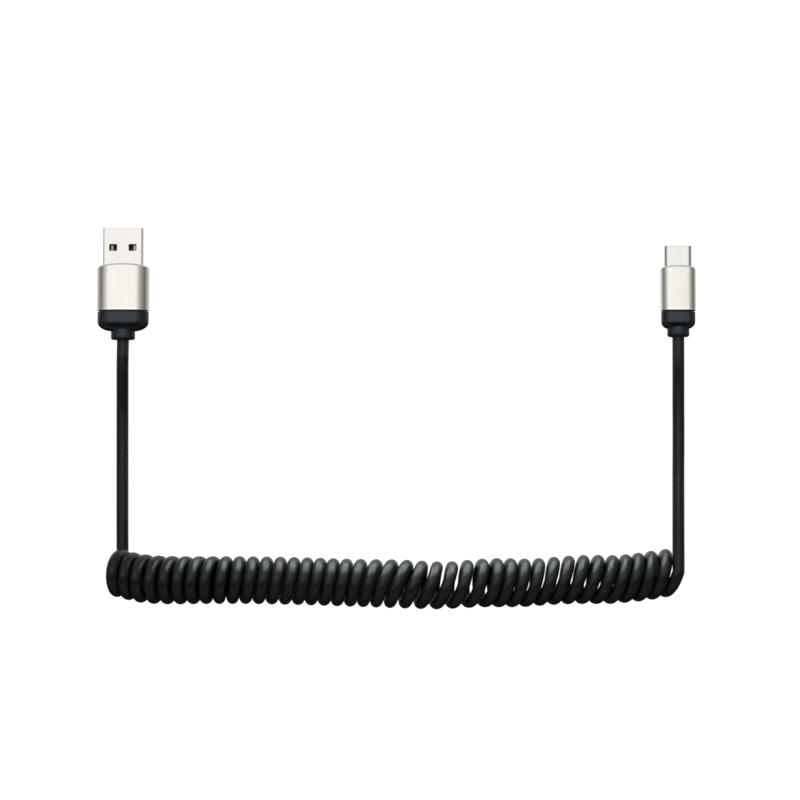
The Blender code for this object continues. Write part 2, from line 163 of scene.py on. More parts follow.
# The front edge of a sleeve, as points in from its side and back from its front, in mm
SLEEVE_FRONT_EDGE = ((0.0, 0.5), (0.03, 0.4), (0.3, 0.08), (0.42, 0.0))
SLEEVE_RIM = 0.55 * MM  # the polished ring at its rear
SLEEVE_RIM_ROUND = 0.14 * MM
CAP_EDGE_ROUND = 0.3 * MM
CAP_EDGE_STEPS = 4
SUPPORT = 0.22 * MM  # a ring this far from a rounded edge keeps the long side beside it flat
METAL_BULGE = 0.08  # the share of its height that a section loses towards its sides
BOOT_BULGE = 0.16
SHOULDER_STEPS = 30
COLLAR_STEPS = 10
BORE_DEPTH = 2.6 * MM

# Finishes: where most of a noise texture's values lie, and the colours of the blacks and of the two nickels
NOISE_RANGE = (0.3, 0.7)
BLACK = (0.005, 0.006, 0.007)
BLACK_TINTS = ((0.004, 0.005, 0.006), (0.007, 0.008, 0.009))
WARM_NICKEL = (0.765, 0.737, 0.705)
PALE_NICKEL = (0.745, 0.75, 0.717)
DULLED = 0.98  # the level of the nickel's duller clouds
MIX_COLORS = (6, 7)  # the colour sockets of a Mix node, which go by number because others share their names
MIX_RESULT = 2

# Light: the tent's level on the left and on the right, by the height of a direction, from straight down at -1
# to straight up at 1
TENT_LEFT = (
    (-1.0, 0.95), (-0.77, 0.95), (-0.5, 0.75), (-0.24, 0.47), (0.0, 0.17), (0.19, 0.24), (0.37, 0.4),
    (0.53, 0.58), (0.66, 0.78), (0.77, 0.97), (0.87, 1.22), (0.94, 1.45), (1.0, 1.55),
)
TENT_RIGHT = (
    (-1.0, 0.9), (-0.6, 0.78), (-0.36, 0.58), (-0.14, 0.34), (0.05, 0.17), (0.21, 0.21), (0.4, 0.32),
    (0.59, 0.44), (0.74, 0.58), (0.86, 0.82), (0.93, 1.08), (0.975, 1.42), (1.0, 1.55),
)
# What share of its level the near side keeps high up and low down, and how much the far side adds
TENT_NEAR_SHARE = 0.04
TENT_FAR_EXTRA = 0.4
# Where the tent changes, by the x, y or z of a direction: from left to right, from its near side to the rest,
# up to the high part and down to the low part of the near side, and from the rest to its far side
TENT_SIDES = (-0.06, 0.1)
TENT_NEAR = (-0.2, 0.07)
TENT_NEAR_HIGH = (0.3, 0.6)
TENT_NEAR_LOW = (-0.3, -0.05)
TENT_FAR = (0.5, 0.9)
# Two long softboxes light the cable: a bright one on the far side, which reaches below the floor as its image
# in a glossy table does, and a weak one high on the near side. Each has its centre, its tilt from facing
# down, its height and its power.
SOFTBOX_WIDTH = 470.0 * MM
FAR_SOFTBOX = (Vector((35.0, 130.0, 54.0)) * MM, math.radians(-90.0), 236.0 * MM, 2.05)
NEAR_SOFTBOX = (Vector((0.0, -261.0, 170.0)) * MM, math.radians(45.0), 90.0 * MM, 0.06)
SOFTBOX_COLOR = (0.88, 0.97, 1.0)
# Flags keep the softboxes off the tails and the left end of the coil: the ends of each in plan, and how low
# and high they reach
FLAGS_MM = (
    ((-100.0, -22.0), (-62.0, -22.0)), ((-100.0, -72.0), (-63.0, -72.0)),
    ((80.5, -24.0), (80.5, -77.0)), ((91.0, -24.0), (91.0, -77.0)),
)
FLAG_LOW = -30.0 * MM
FLAG_HIGH = 60.0 * MM
FLOOR_REACH = 3.0
FLOOR_GREY = 0.25
FLOOR_GLOW = 1.0


# Materials


class Surface:
    """A Principled material and short ways to add nodes to it.

    Its colour and roughness are flat until tint and roughen put nodes in their place.
    """

    def __init__(self, name, color, roughness, metallic=0.0, specular=0.5):
        self.material = bpy.data.materials.new(name)
        self.material.use_nodes = True
        self.nodes = self.material.node_tree.nodes
        self.links = self.material.node_tree.links
        self.shader = self.nodes["Principled BSDF"]
        self.shader.inputs["Base Color"].default_value = (*color, 1.0)
        self.shader.inputs["Roughness"].default_value = roughness
        self.shader.inputs["Metallic"].default_value = metallic
        self.shader.inputs["Specular IOR Level"].default_value = specular

    def coordinates(self, scale=(1.0, 1.0, 1.0)):
        place = self.nodes.new("ShaderNodeTexCoord")
        mapping = self.nodes.new("ShaderNodeMapping")
        mapping.inputs["Scale"].default_value = scale
        self.links.new(place.outputs["Object"], mapping.inputs["Vector"])
        return mapping.outputs["Vector"]

    def noise(self, scale, detail=3.0, stretch=(1.0, 1.0, 1.0)):
        noise = self.nodes.new("ShaderNodeTexNoise")
        noise.inputs["Scale"].default_value = scale
        noise.inputs["Detail"].default_value = detail
        self.links.new(self.coordinates(stretch), noise.inputs["Vector"])
        return noise.outputs["Fac"]

    def spread(self, value, low, high):
        """Spreads a noise's values over the range from low to high."""
        span = self.nodes.new("ShaderNodeMapRange")
        span.inputs["From Min"].default_value = NOISE_RANGE[0]
        span.inputs["From Max"].default_value = NOISE_RANGE[1]
        span.inputs["To Min"].default_value = low
        span.inputs["To Max"].default_value = high
        self.links.new(value, span.inputs["Value"])
        return span.outputs["Result"]

    def tint(self, value, first, second):
        """Colours the surface by a noise, between the first colour and the second."""
        mix = self.nodes.new("ShaderNodeMix")
        mix.data_type = "RGBA"
        for socket, color in zip(MIX_COLORS, (first, second)):
            mix.inputs[socket].default_value = (*color, 1.0)
        self.links.new(self.spread(value, 0.0, 1.0), mix.inputs[0])
        self.links.new(mix.outputs[MIX_RESULT], self.shader.inputs["Base Color"])

    def roughen(self, value, low, high):
        self.links.new(self.spread(value, low, high), self.shader.inputs["Roughness"])

    def bump(self, heights):
        """Adds bump maps one on another, each a value, its height in metres and its strength."""
        normal = None
        for value, height, strength in heights:
            bump = self.nodes.new("ShaderNodeBump")
            bump.inputs["Distance"].default_value = height
            bump.inputs["Strength"].default_value = strength
            self.links.new(value, bump.inputs["Height"])
            if normal is not None:
                self.links.new(normal, bump.inputs["Normal"])
            normal = bump.outputs["Normal"]
        self.links.new(normal, self.shader.inputs["Normal"])


def jacket_material():
    """Matte black cable jacket: a fine grain, slow patches of gloss and a cool cast."""
    surface = Surface("black_jacket", BLACK, 0.32, specular=0.36)
    grain = surface.noise(5200.0, 3.0)
    patches = surface.noise(420.0, 2.0)
    surface.tint(patches, *BLACK_TINTS)
    surface.roughen(patches, 0.3, 0.35)
    surface.bump(((patches, 0.00004, 0.15), (grain, 0.00002, 0.4)))
    return surface.material


def boot_material():
    """Black moulded elastomer, a little smoother than the cable."""
    surface = Surface("black_boot", BLACK, 0.3, specular=0.74)
    surface.shader.inputs["Specular Tint"].default_value = (0.8, 0.9, 1.0, 1.0)
    grain = surface.noise(6500.0, 3.0)
    patches = surface.noise(380.0, 2.0)
    surface.tint(patches, *BLACK_TINTS)
    surface.roughen(patches, 0.26, 0.34)
    surface.bump(((grain, 0.00002, 0.45),))
    return surface.material


def satin_material():
    """Warm silver aluminium, blasted and anodised: a very fine sparkle over faint drawing lines."""
    surface = Surface("satin_aluminium", (0.88, 0.855, 0.80), 0.24, metallic=1.0)
    sparkle = surface.noise(9000.0, 2.0)
    lines = surface.noise(1500.0, 3.0, (1.0, 0.03, 1.0))
    clouds = surface.noise(160.0, 2.0)
    surface.tint(clouds, (0.865, 0.84, 0.785), (0.895, 0.87, 0.815))
    surface.roughen(lines, 0.21, 0.27)
    surface.bump(((lines, 0.000006, 0.3), (sparkle, 0.00001, 0.25)))
    return surface.material


def polished_material():
    """The bright ring turned on the rear of each sleeve."""
    surface = Surface("polished_rim", (0.92, 0.90, 0.86), 0.12, metallic=1.0)
    turning = surface.noise(2500.0, 2.0, (0.05, 1.0, 0.05))
    surface.roughen(turning, 0.09, 0.16)
    return surface.material


def shell_material(name, color):
    """Bright nickel over pressed steel, with faint rolling lines along the plug."""
    surface = Surface(name, color, 0.15, metallic=1.0)
    lines = surface.noise(2200.0, 3.0, (1.0, 0.04, 1.0))
    clouds = surface.noise(220.0, 2.0)
    surface.tint(clouds, [DULLED * level for level in color], color)
    surface.roughen(lines, 0.12, 0.18)
    surface.bump(((lines, 0.000004, 0.25),))
    return surface.material


def insulator_material():
    """Black moulded plastic with a fine grain."""
    surface = Surface("black_insulator", (0.016, 0.016, 0.017), 0.45)
    grain = surface.noise(7000.0, 2.0)
    surface.roughen(surface.noise(500.0), 0.4, 0.52)
    surface.bump(((grain, 0.00001, 0.3),))
    return surface.material


def contact_material():
    """Thin pale gold, worn along the contacts."""
    surface = Surface("gold_contact", (0.42, 0.375, 0.24), 0.27, metallic=1.0)
    worn = surface.noise(1800.0, 3.0, (1.0, 0.1, 1.0))
    surface.tint(worn, (0.39, 0.35, 0.21), (0.45, 0.41, 0.28))
    surface.roughen(worn, 0.2, 0.34)
    return surface.material


# Shapes


def add_piece(name, bm, slot, replaced, *materials):
    """Makes the mesh a piece of the object, which stands for the replaced nodes."""
    bmesh.ops.remove_doubles(bm, verts=bm.verts, dist=MERGE_DISTANCE)
    bmesh.ops.recalc_face_normals(bm, faces=bm.faces)
    mesh = bpy.data.meshes.new(name)
    bm.to_mesh(mesh)
    bm.free()
    mesh.shade_smooth()
    mesh.set_sharp_from_angle(angle=SHARP_ANGLE)
    piece = bpy.data.objects.new(name, mesh)
    for material in materials:
        mesh.materials.append(material)
    bpy.context.scene.collection.objects.link(piece)
    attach(piece, "root")
    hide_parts(*replaced)
    return piece


def section(centre, half_width, half_height, corner, y, crown=0.0, crown_width=1.0, bulge=0.0):
    """A rounded rectangle across Y, round a centre (x, z).

    A crown sets its points back along Y away from the middle. A bulge swells its broad sides in the middle.
    """
    radius = min(corner, half_width - LEAST_STRAIGHT, half_height - LEAST_STRAIGHT)
    straight = half_width - radius
    outline = []
    for quarter, (side_x, side_z) in enumerate(CORNER_SIDES):
        for step in range(CORNER_STEPS + 1):
            angle = (quarter + step / CORNER_STEPS) * math.pi / 2
            x = side_x * straight + radius * math.cos(angle)
            outline.append((x, side_z * (half_height - radius) + radius * math.sin(angle)))
        if side_x == side_z:
            for step in range(1, SIDE_STEPS):
                x = side_x * straight * (1 - 2 * step / SIDE_STEPS)
                outline.append((x, side_z * half_height))
    points = []
    for x, z in outline:
        height = z * (1 - bulge * (x / half_width) ** 2)
        points.append(Vector((centre[0] + x, y - crown * (x / crown_width) ** 2, centre[1] + height)))
    return points


def loft(rings, closed=False, marked=()):
    """Joins equal rings into a capped or a closed tube. The bands whose numbers are marked get material 1."""
    bm = bmesh.new()
    rows = [[bm.verts.new(point) for point in ring] for ring in rings]
    pairs = list(zip(rows, rows[1:]))
    if closed:
        pairs.append((rows[-1], rows[0]))
    for number, (first, second) in enumerate(pairs):
        for i in range(len(first)):
            j = (i + 1) % len(first)
            face = bm.faces.new((first[i], first[j], second[j], second[i]))
            face.material_index = int(number in marked)
    if not closed:
        bm.faces.new(rows[0])
        bm.faces.new(rows[-1])
    return bm


def add_block(bm, low, high, bevel):
    """A box with its edges rounded, added to the mesh being made."""
    made = bmesh.ops.create_cube(bm, size=1.0)
    for vert in made["verts"]:
        vert.co = Vector([a + (b - a) * (c + 0.5) for a, b, c in zip(low, high, vert.co)])
    edges = {edge for vert in made["verts"] for edge in vert.link_edges}
    bmesh.ops.bevel(bm, geom=list(edges), offset=bevel, segments=BEVEL_STEPS, profile=0.5, affect="EDGES")


def extruded(outline, offset):
    """A mesh of the solid between a flat outline of points and its copy, moved by the offset."""
    bm = bmesh.new()
    face = bm.faces.new([bm.verts.new(point) for point in outline])
    grown = bmesh.ops.extrude_face_region(bm, geom=[face])
    verts = [item for item in grown["geom"] if isinstance(item, bmesh.types.BMVert)]
    bmesh.ops.translate(bm, vec=offset, verts=verts)
    return bm


def rounded_edge(inset, steps=ROUND_STEPS):
    """Pairs of how far a rounded edge has come in and how far it is from its end, going towards the end."""
    for step in range(steps + 1):
        angle = step / steps * math.pi / 2
        yield inset * (1 - math.cos(angle)), inset * (1 - math.sin(angle))


def middle(box):
    """The x and z of a box's middle."""
    low, high = box
    return ((low[0] + high[0]) / 2, (low[2] + high[2]) / 2)


def half_sizes(box):
    """Half of a box's width and of its height."""
    low, high = box
    return ((high[0] - low[0]) / 2, (high[2] - low[2]) / 2)


def cut(target, cutters):
    """Takes the cutters' shapes out of the target and removes them."""
    for cutter in cutters:
        modifier = target.modifiers.new("cut", "BOOLEAN")
        modifier.operation = "DIFFERENCE"
        modifier.solver = "EXACT"
        modifier.object = cutter
    bpy.context.view_layer.update()
    graph = bpy.context.evaluated_depsgraph_get()
    whole = bpy.data.meshes.new_from_object(target.evaluated_get(graph))
    target.modifiers.clear()
    old = target.data
    target.data = whole
    bpy.data.meshes.remove(old)
    whole.name = target.name
    whole.set_sharp_from_angle(angle=SHARP_ANGLE)
    for cutter in cutters:
        bpy.data.objects.remove(cutter, do_unlink=True)


def prism(outline, low_z, high_z):
    """A cutter: a flat outline of (x, y) points with upright sides."""
    bm = extruded([(x, y, low_z) for x, y in outline], (0.0, 0.0, high_z - low_z))
    bmesh.ops.recalc_face_normals(bm, faces=bm.faces)
    mesh = bpy.data.meshes.new("cutter")
    bm.to_mesh(mesh)
    bm.free()
    obj = bpy.data.objects.new("cutter", mesh)
    bpy.context.scene.collection.objects.link(obj)
    return obj


# Camera


def add_camera():
    """The camera sees VIEW_WIDTH across at VIEW_CENTRE."""
    lens = bpy.data.cameras.new("camera")
    lens.sensor_width = SENSOR_MM
    lens.lens = SENSOR_MM * VIEW_DISTANCE / VIEW_WIDTH
    lens.clip_start = CLIP_START
    camera = bpy.data.objects.new("camera", lens)
    back = Vector((0.0, -math.sin(VIEW_TILT), math.cos(VIEW_TILT)))
    camera.location = VIEW_CENTRE + VIEW_DISTANCE * back
    camera.rotation_euler = (VIEW_TILT, 0.0, 0.0)
    bpy.context.scene.collection.objects.link(camera)
    bpy.context.scene.camera = camera


# Cable


def smooth_value(stops, at):
    """The value at a place between (place, value) stops, on a smooth curve through them."""
    places = [place for place, _ in stops]
    values = [value for _, value in stops]
    index = max(i for i in range(len(stops) - 1) if i == 0 or places[i] <= at)

    def slope(i):
        low = max(i - 1, 0)
        high = min(i + 1, len(stops) - 1)
        return (values[high] - values[low]) / (places[high] - places[low])

    width = places[index + 1] - places[index]
    t = (at - places[index]) / width
    start = (2 * t**3 - 3 * t**2 + 1) * values[index] + (t**3 - 2 * t**2 + t) * width * slope(index)
    end = (3 * t**2 - 2 * t**3) * values[index + 1] + (t**3 - t**2) * width * slope(index + 1)
    return start + end


def coil_point(turn):
    """The middle of the cable at a number of turns. Whole turns are at the near side."""
    columns = [[(stop[0], stop[column]) for stop in COIL_STOPS] for column in range(1, 6)]
    x, y, radius, far_lag, top_lead = [smooth_value(column, turn) * MM for column in columns]
    angle = 2 * math.pi * turn
    return Vector((
        x + far_lag * math.cos(angle) + top_lead * math.sin(angle),
        y - radius * math.cos(angle),
        FLOOR_CLEARANCE + CABLE_RADIUS + radius + radius * math.sin(angle),
    ))


def smooth_route(before, points, after):
    """A smooth curve through the points, with a neighbour at each end to set its direction."""
    padded = [before, *points, after]
    route = []
    for a, b, c, d in zip(padded, padded[1:], padded[2:], padded[3:]):
        steps = max(2, round((c - b).length / ROUTE_STEP))
        for step in range(steps):
            t = step / steps
            bend = (2 * a - 5 * b + 4 * c - d) * t**2 + (3 * b - a - 3 * c + d) * t**3
            route.append(0.5 * (2 * b + (c - a) * t + bend))
    route.append(points[-1])
    return route


def boot_exit(node):
    """The middle of the rear face of a plug's boot."""
    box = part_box(node)
    x, z = middle(box)
    return Vector((x, box[0][1], z))


def add_cable(material):
    """The whole cable as one curve, from inside one plug's boot through the coil to inside the other's."""
    exit_a = boot_exit("usb_a_boot")
    exit_c = boot_exit("usb_c_boot")
    inward = Vector((0.0, CABLE_INSIDE_BOOT, 0.0))
    count = round((COIL_LAST_TURN - COIL_FIRST_TURN) * POINTS_PER_TURN)
    turns = [COIL_FIRST_TURN + index / POINTS_PER_TURN for index in range(count + 1)]
    coil = [coil_point(turn) for turn in turns]
    lead_in = [exit_a + inward, exit_a] + [Vector(point) for point in TAIL_A] + [coil[0]]
    lead_out = [coil[-1]] + [Vector(point) for point in reversed(TAIL_C)] + [exit_c, exit_c + inward]
    points = smooth_route(exit_a + 2 * inward, lead_in, coil[1])
    points += coil[1:-1]
    points += smooth_route(coil[-2], lead_out, exit_c + 2 * inward)

    curve = bpy.data.curves.new("cable", "CURVE")
    curve.dimensions = "3D"
    curve.bevel_depth = CABLE_RADIUS
    curve.bevel_resolution = RING_RESOLUTION
    curve.use_fill_caps = True
    spline = curve.splines.new("POLY")
    spline.points.add(len(points) - 1)
    for target, point in zip(spline.points, points):
        target.co = (*point, 1.0)
    spline.use_smooth = True
    curve.materials.append(material)
    cable = bpy.data.objects.new("cable", curve)
    bpy.context.scene.collection.objects.link(cable)
    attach(cable, "root")
    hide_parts("cable_tail_a", "cable_coil", "cable_tail_c")


# Plugs


def add_shell(name, node, corner, wall, tip_round, material):
    """A pressed metal tube, open at both ends, whose edge rolls in at the tip."""
    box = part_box(node)
    centre = middle(box)
    half_w, half_h = half_sizes(box)
    back, tip = box[0][1], box[1][1]
    rings = [
        section(centre, half_w, half_h, corner, back),
        section(centre, half_w, half_h, corner, tip - tip_round - SUPPORT),
    ]
    for inset, short in rounded_edge(tip_round):
        tip_corner = corner - inset * TIP_CORNER_LOSS
        rings.append(section(centre, half_w - inset, half_h - inset, tip_corner, tip - short))
    inner = corner - wall * INNER_CORNER_LOSS
    rings.append(section(centre, half_w - wall, half_h - wall, inner, tip))
    rings.append(section(centre, half_w - wall, half_h - wall, inner, back))
    return add_piece(name, loft(rings, closed=True), "plated_steel", [node], material)


def window_outline(x, y):
    """A rounded window round a point of the shell's broad side."""
    across, along, corner = A_WINDOW
    outline = []
    for quarter, (side_x, side_y) in enumerate(CORNER_SIDES):
        for step in range(A_WINDOW_STEPS + 1):
            angle = (quarter + step / A_WINDOW_STEPS) * math.pi / 2
            outline.append((
                x + side_x * (across / 2 - corner) + corner * math.cos(angle),
                y + side_y * (along / 2 - corner) + corner * math.sin(angle),
            ))
    return outline


def seam_legs(x, tip, back):
    """The legs of the slit where the folded sheet meets under the plug, with its square lock."""
    front_key = tip - A_SEAM_KEY[0]
    rear_key = front_key - A_SEAM_KEY[1]
    side = x + A_SEAM_KEY[2]
    path = (
        (x, tip + CUTTER_REACH), (x, front_key), (side, front_key),
        (side, rear_key), (x, rear_key), (x, back - CUTTER_REACH),
    )
    for (x0, y0), (x1, y1) in zip(path, path[1:]):
        half = A_SEAM_WIDTH / 2
        left, right = min(x0, x1) - half, max(x0, x1) + half
        low, high = min(y0, y1) - half, max(y0, y1) + half
        yield ((left, low), (right, low), (right, high), (left, high))


def add_usb_a_shell(material):
    """The USB-A shell, with two windows through both broad sides and its seam underneath."""
    shell = add_shell("usb_a_shell_metal", "usb_a_shell", A_SHELL_CORNER, A_SHELL_WALL, A_TIP_ROUND, material)
    low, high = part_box("usb_a_shell")
    x = (low[0] + high[0]) / 2
    back, tip = low[1], high[1]
    under, over = low[2] - CUTTER_REACH, high[2] + CUTTER_REACH
    y = tip - A_WINDOW_FROM_TIP - A_WINDOW[1] / 2
    cutters = []
    for side in (-1, 1):
        cutters.append(prism(window_outline(x + side * A_WINDOW_SPACING / 2, y), under, over))
    for outline in seam_legs(x, tip, back):
        cutters.append(prism(outline, under, low[2] + CUTTER_REACH))
    cut(shell, cutters)


def add_usb_a_inside(plastic, gold):
    """The tongue on its base, and the contacts that lie on the tongue."""
    (x0, y0, z0), (x1, y1, z1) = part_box("usb_a_insulator")
    tongue_top = z0 + A_TONGUE_THICKNESS
    base_front = y1 - A_TONGUE_LENGTH
    outline = [(y1, z0), (y1, tongue_top), (base_front, tongue_top), (base_front, z1), (y0, z1), (y0, z0)]
    bm = extruded([(x0, y, z) for y, z in outline], (x1 - x0, 0.0, 0.0))
    edges = list(bm.edges)
    bmesh.ops.bevel(bm, geom=edges, offset=A_TONGUE_EDGE, segments=BEVEL_STEPS, profile=0.5, affect="EDGES")
    add_piece("usb_a_tongue", bm, "insulator", ["usb_a_insulator"], plastic)
    for number in range(1, A_CONTACT_COUNT + 1):
        node = f"usb_a_contact_{number}"
        low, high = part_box(node)
        bm = bmesh.new()
        add_block(bm, low, high, A_CONTACT_EDGE)
        add_piece(f"{node}_plated", bm, "gold_contact", [node], gold)


def add_usb_c_inside(plastic, gold):
    """The body round the slot for the socket's tongue, and the two rows of contacts in the slot."""
    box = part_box("usb_c_insulator")
    centre = middle(box)
    half_w, half_h = half_sizes(box)
    back, front = box[0][1], box[1][1]
    slot_w, slot_h, slot_depth = C_SLOT
    slot_w, slot_h = slot_w / 2, slot_h / 2
    lead = C_SLOT_LEAD
    rings = [
        section(centre, half_w, half_h, half_h, back),
        section(centre, half_w, half_h, half_h, front - lead),
        section(centre, half_w - lead, half_h - lead, half_h, front),
        section(centre, slot_w + lead, slot_h + lead, slot_h + lead, front),
        section(centre, slot_w, slot_h, slot_h, front - 2 * lead),
        section(centre, slot_w, slot_h, slot_h, front - slot_depth),
    ]
    add_piece("usb_c_slot_body", loft(rings), "insulator", ["usb_c_insulator"], plastic)
    half = C_CONTACT_WIDTH / 2
    for row in ("upper", "lower"):
        node = f"usb_c_contacts_{row}"
        (x0, y0, z0), (x1, y1, z1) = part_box(node)
        bm = bmesh.new()
        for index in range(C_CONTACT_COUNT):
            x = (x0 + x1) / 2 + (index - (C_CONTACT_COUNT - 1) / 2) * C_CONTACT_PITCH
            add_block(bm, (x - half, y0, z0), (x + half, y1, z1), C_CONTACT_EDGE)
        add_piece(f"{node}_plated", bm, "gold_contact", [node], gold)


def add_sleeve(name, node, shell_node, corner, crown, front_wall, shell_corner, materials):
    """A drawn cup of satin metal: a crowned front slotted for the shell, and a polished ring at its rear."""
    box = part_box(node)
    centre = middle(box)
    half_w, half_h = half_sizes(box)
    back, front = box[0][1], box[1][1]
    slot_w, slot_h = (half + SLOT_CLEARANCE for half in half_sizes(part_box(shell_node)))
    rings = []
    for inset, short in reversed(list(rounded_edge(SLEEVE_RIM_ROUND))):
        w, h = half_w - inset, half_h - inset
        rings.append(section(centre, w, h, corner - inset, back + short, bulge=METAL_BULGE))
    rim_bands = range(len(rings))
    for y in (back + SLEEVE_RIM, back + SLEEVE_RIM + SUPPORT):
        rings.append(section(centre, half_w, half_h, corner, y, bulge=METAL_BULGE))
    y = front - SLEEVE_FRONT_EDGE[0][1] * MM - SUPPORT
    rings.append(section(centre, half_w, half_h, corner, y, crown, half_w, METAL_BULGE))
    for inset, short in SLEEVE_FRONT_EDGE:
        w, h = half_w - inset * MM, half_h - inset * MM
        y = front - short * MM
        rings.append(section(centre, w, h, corner - inset * MM, y, crown, half_w, METAL_BULGE))
    rings.append(section(centre, slot_w, slot_h, shell_corner, front, crown, half_w))
    rings.append(section(centre, slot_w, slot_h, shell_corner, front - front_wall))
    for y in (front - front_wall, back):
        w, h = half_w - SLEEVE_WALL, half_h - SLEEVE_WALL
        rings.append(section(centre, w, h, corner - SLEEVE_WALL, y))
    bm = loft(rings, closed=True, marked=rim_bands)
    add_piece(name, bm, "satin_aluminium", [node], *materials)


def shrunk(ring, centre, y, scale, least_width, least_height):
    """A ring scaled about its centre and moved to y, but nowhere inside an oval of the least half sizes."""
    points = []
    for point in ring:
        x, z = point.x - centre[0], point.z - centre[1]
        size = max(scale, 1 / math.hypot(x / least_width, z / least_height))
        points.append(Vector((centre[0] + size * x, y, centre[1] + size * z)))
    return points


def add_boot(name, node, sleeve_node, corner, cap, collar, material):
    """The moulded rear of a plug: a core in the sleeve, a cap, a shoulder and a bored collar."""
    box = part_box(node)
    centre = middle(box)
    half_w, half_h = half_sizes(box)
    rear, core_front = box[0][1], box[1][1]
    cap_length, shoulder_length, shoulder_fall = cap
    collar_w, collar_h, collar_length, collar_round = collar
    collar_w, collar_h = collar_w / 2, collar_h / 2
    cap_rear = rear + collar_length + shoulder_length
    cap_front = cap_rear + cap_length
    core_w, core_h = (half - SLEEVE_WALL - CORE_CLEARANCE for half in half_sizes(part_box(sleeve_node)))
    rings = [
        section(centre, core_w, core_h, corner, core_front),
        section(centre, core_w, core_h, corner, cap_front),
    ]
    for inset, short in reversed(list(rounded_edge(CAP_EDGE_ROUND, CAP_EDGE_STEPS))):
        w, h = half_w - inset, half_h - inset
        rings.append(section(centre, w, h, corner - inset, cap_front - short, bulge=BOOT_BULGE))
    whole = section(centre, half_w, half_h, corner, cap_rear, bulge=BOOT_BULGE)
    for step in range(SHOULDER_STEPS + 1):
        angle = step / SHOULDER_STEPS * math.pi / 2
        scale = 1 - shoulder_fall / half_w * (1 - math.cos(angle))
        y = cap_rear - shoulder_length * math.sin(angle)
        rings.append(shrunk(whole, centre, y, scale, collar_w, collar_h))
    for inset, short in rounded_edge(collar_round, COLLAR_STEPS):
        rings.append(shrunk(whole, centre, rear + short, 0.0, collar_w - inset, collar_h - inset))
    bore = CABLE_RADIUS + BORE_CLEARANCE
    rings.append(shrunk(whole, centre, rear, 0.0, bore, bore))
    rings.append(shrunk(whole, centre, rear + BORE_DEPTH, 0.0, bore, bore))
    add_piece(name, loft(rings), "boot", [node], material)


# Stage and light


def add_floor():
    """A white sheet that glows, as the lit floor of a light tent does, so it is white under the cable."""
    bm = bmesh.new()
    bmesh.ops.create_grid(bm, x_segments=1, y_segments=1, size=FLOOR_REACH)
    mesh = bpy.data.meshes.new("floor")
    bm.to_mesh(mesh)
    bm.free()
    floor = bpy.data.objects.new("floor", mesh)
    surface = Surface("pale_floor", (FLOOR_GREY, FLOOR_GREY, FLOOR_GREY), 0.9, specular=0.1)
    surface.shader.inputs["Emission Color"].default_value = (1.0, 1.0, 1.0, 1.0)
    surface.shader.inputs["Emission Strength"].default_value = FLOOR_GLOW
    surface.roughen(surface.noise(40.0), 0.85, 0.95)
    mesh.materials.append(surface.material)
    bpy.context.scene.collection.objects.link(floor)
    floor.visible_glossy = False
    floor.visible_shadow = False


class Tent:
    """The light tent round the object: how bright it is in each direction, as nodes of the world."""

    def __init__(self):
        self.world = bpy.data.worlds.new("tent")
        self.world.use_nodes = True
        self.nodes = self.world.node_tree.nodes
        self.links = self.world.node_tree.links
        self.nodes.clear()
        place = self.nodes.new("ShaderNodeTexCoord")
        parts = self.nodes.new("ShaderNodeSeparateXYZ")
        self.links.new(place.outputs["Generated"], parts.inputs[0])
        self.x, self.y, self.z = parts.outputs

    def math(self, operation, first, second):
        node = self.nodes.new("ShaderNodeMath")
        node.operation = operation
        for socket, value in zip(node.inputs, (first, second)):
            if isinstance(value, float):
                socket.default_value = value
            else:
                self.links.new(value, socket)
        return node.outputs[0]

    def step(self, value, start, end, low, high):
        """Goes smoothly from low to high as the value goes from start to end."""
        node = self.nodes.new("ShaderNodeMapRange")
        node.interpolation_type = "SMOOTHSTEP"
        for name, number in (("From Min", start), ("From Max", end), ("To Min", low), ("To Max", high)):
            node.inputs[name].default_value = number
        self.links.new(value, node.inputs["Value"])
        return node.outputs["Result"]

    def profile(self, stops):
        """Brightness by height: the stops are pairs of a direction's z, from -1 to 1, and its level."""
        lift = self.nodes.new("ShaderNodeMapRange")
        lift.inputs["From Min"].default_value = -1.0
        self.links.new(self.z, lift.inputs["Value"])
        ramp = self.nodes.new("ShaderNodeValToRGB")
        elements = ramp.color_ramp.elements
        while len(elements) < len(stops):
            elements.new(1.0)
        for element, (z, level) in zip(elements, stops):
            element.position = (z + 1) / 2
            element.color = (level, level, level, 1.0)
        self.links.new(lift.outputs["Result"], ramp.inputs["Fac"])
        return ramp.outputs["Color"]

    def blend(self, share, first, second):
        """Goes from the first value to the second as the share goes from 0 to 1."""
        left = self.math("MULTIPLY", self.math("SUBTRACT", 1.0, share), first)
        return self.math("ADD", left, self.math("MULTIPLY", share, second))

    def finish(self, level):
        """The camera sees plain white behind the object, and everything else sees the tent."""
        tent = self.nodes.new("ShaderNodeBackground")
        white = self.nodes.new("ShaderNodeBackground")
        white.inputs["Color"].default_value = (1.0, 1.0, 1.0, 1.0)
        path = self.nodes.new("ShaderNodeLightPath")
        mix = self.nodes.new("ShaderNodeMixShader")
        out = self.nodes.new("ShaderNodeOutputWorld")
        self.links.new(level, tent.inputs["Strength"])
        self.links.new(path.outputs["Is Camera Ray"], mix.inputs[0])
        self.links.new(tent.outputs[0], mix.inputs[1])
        self.links.new(white.outputs[0], mix.inputs[2])
        self.links.new(mix.outputs[0], out.inputs["Surface"])
        bpy.context.scene.world = self.world


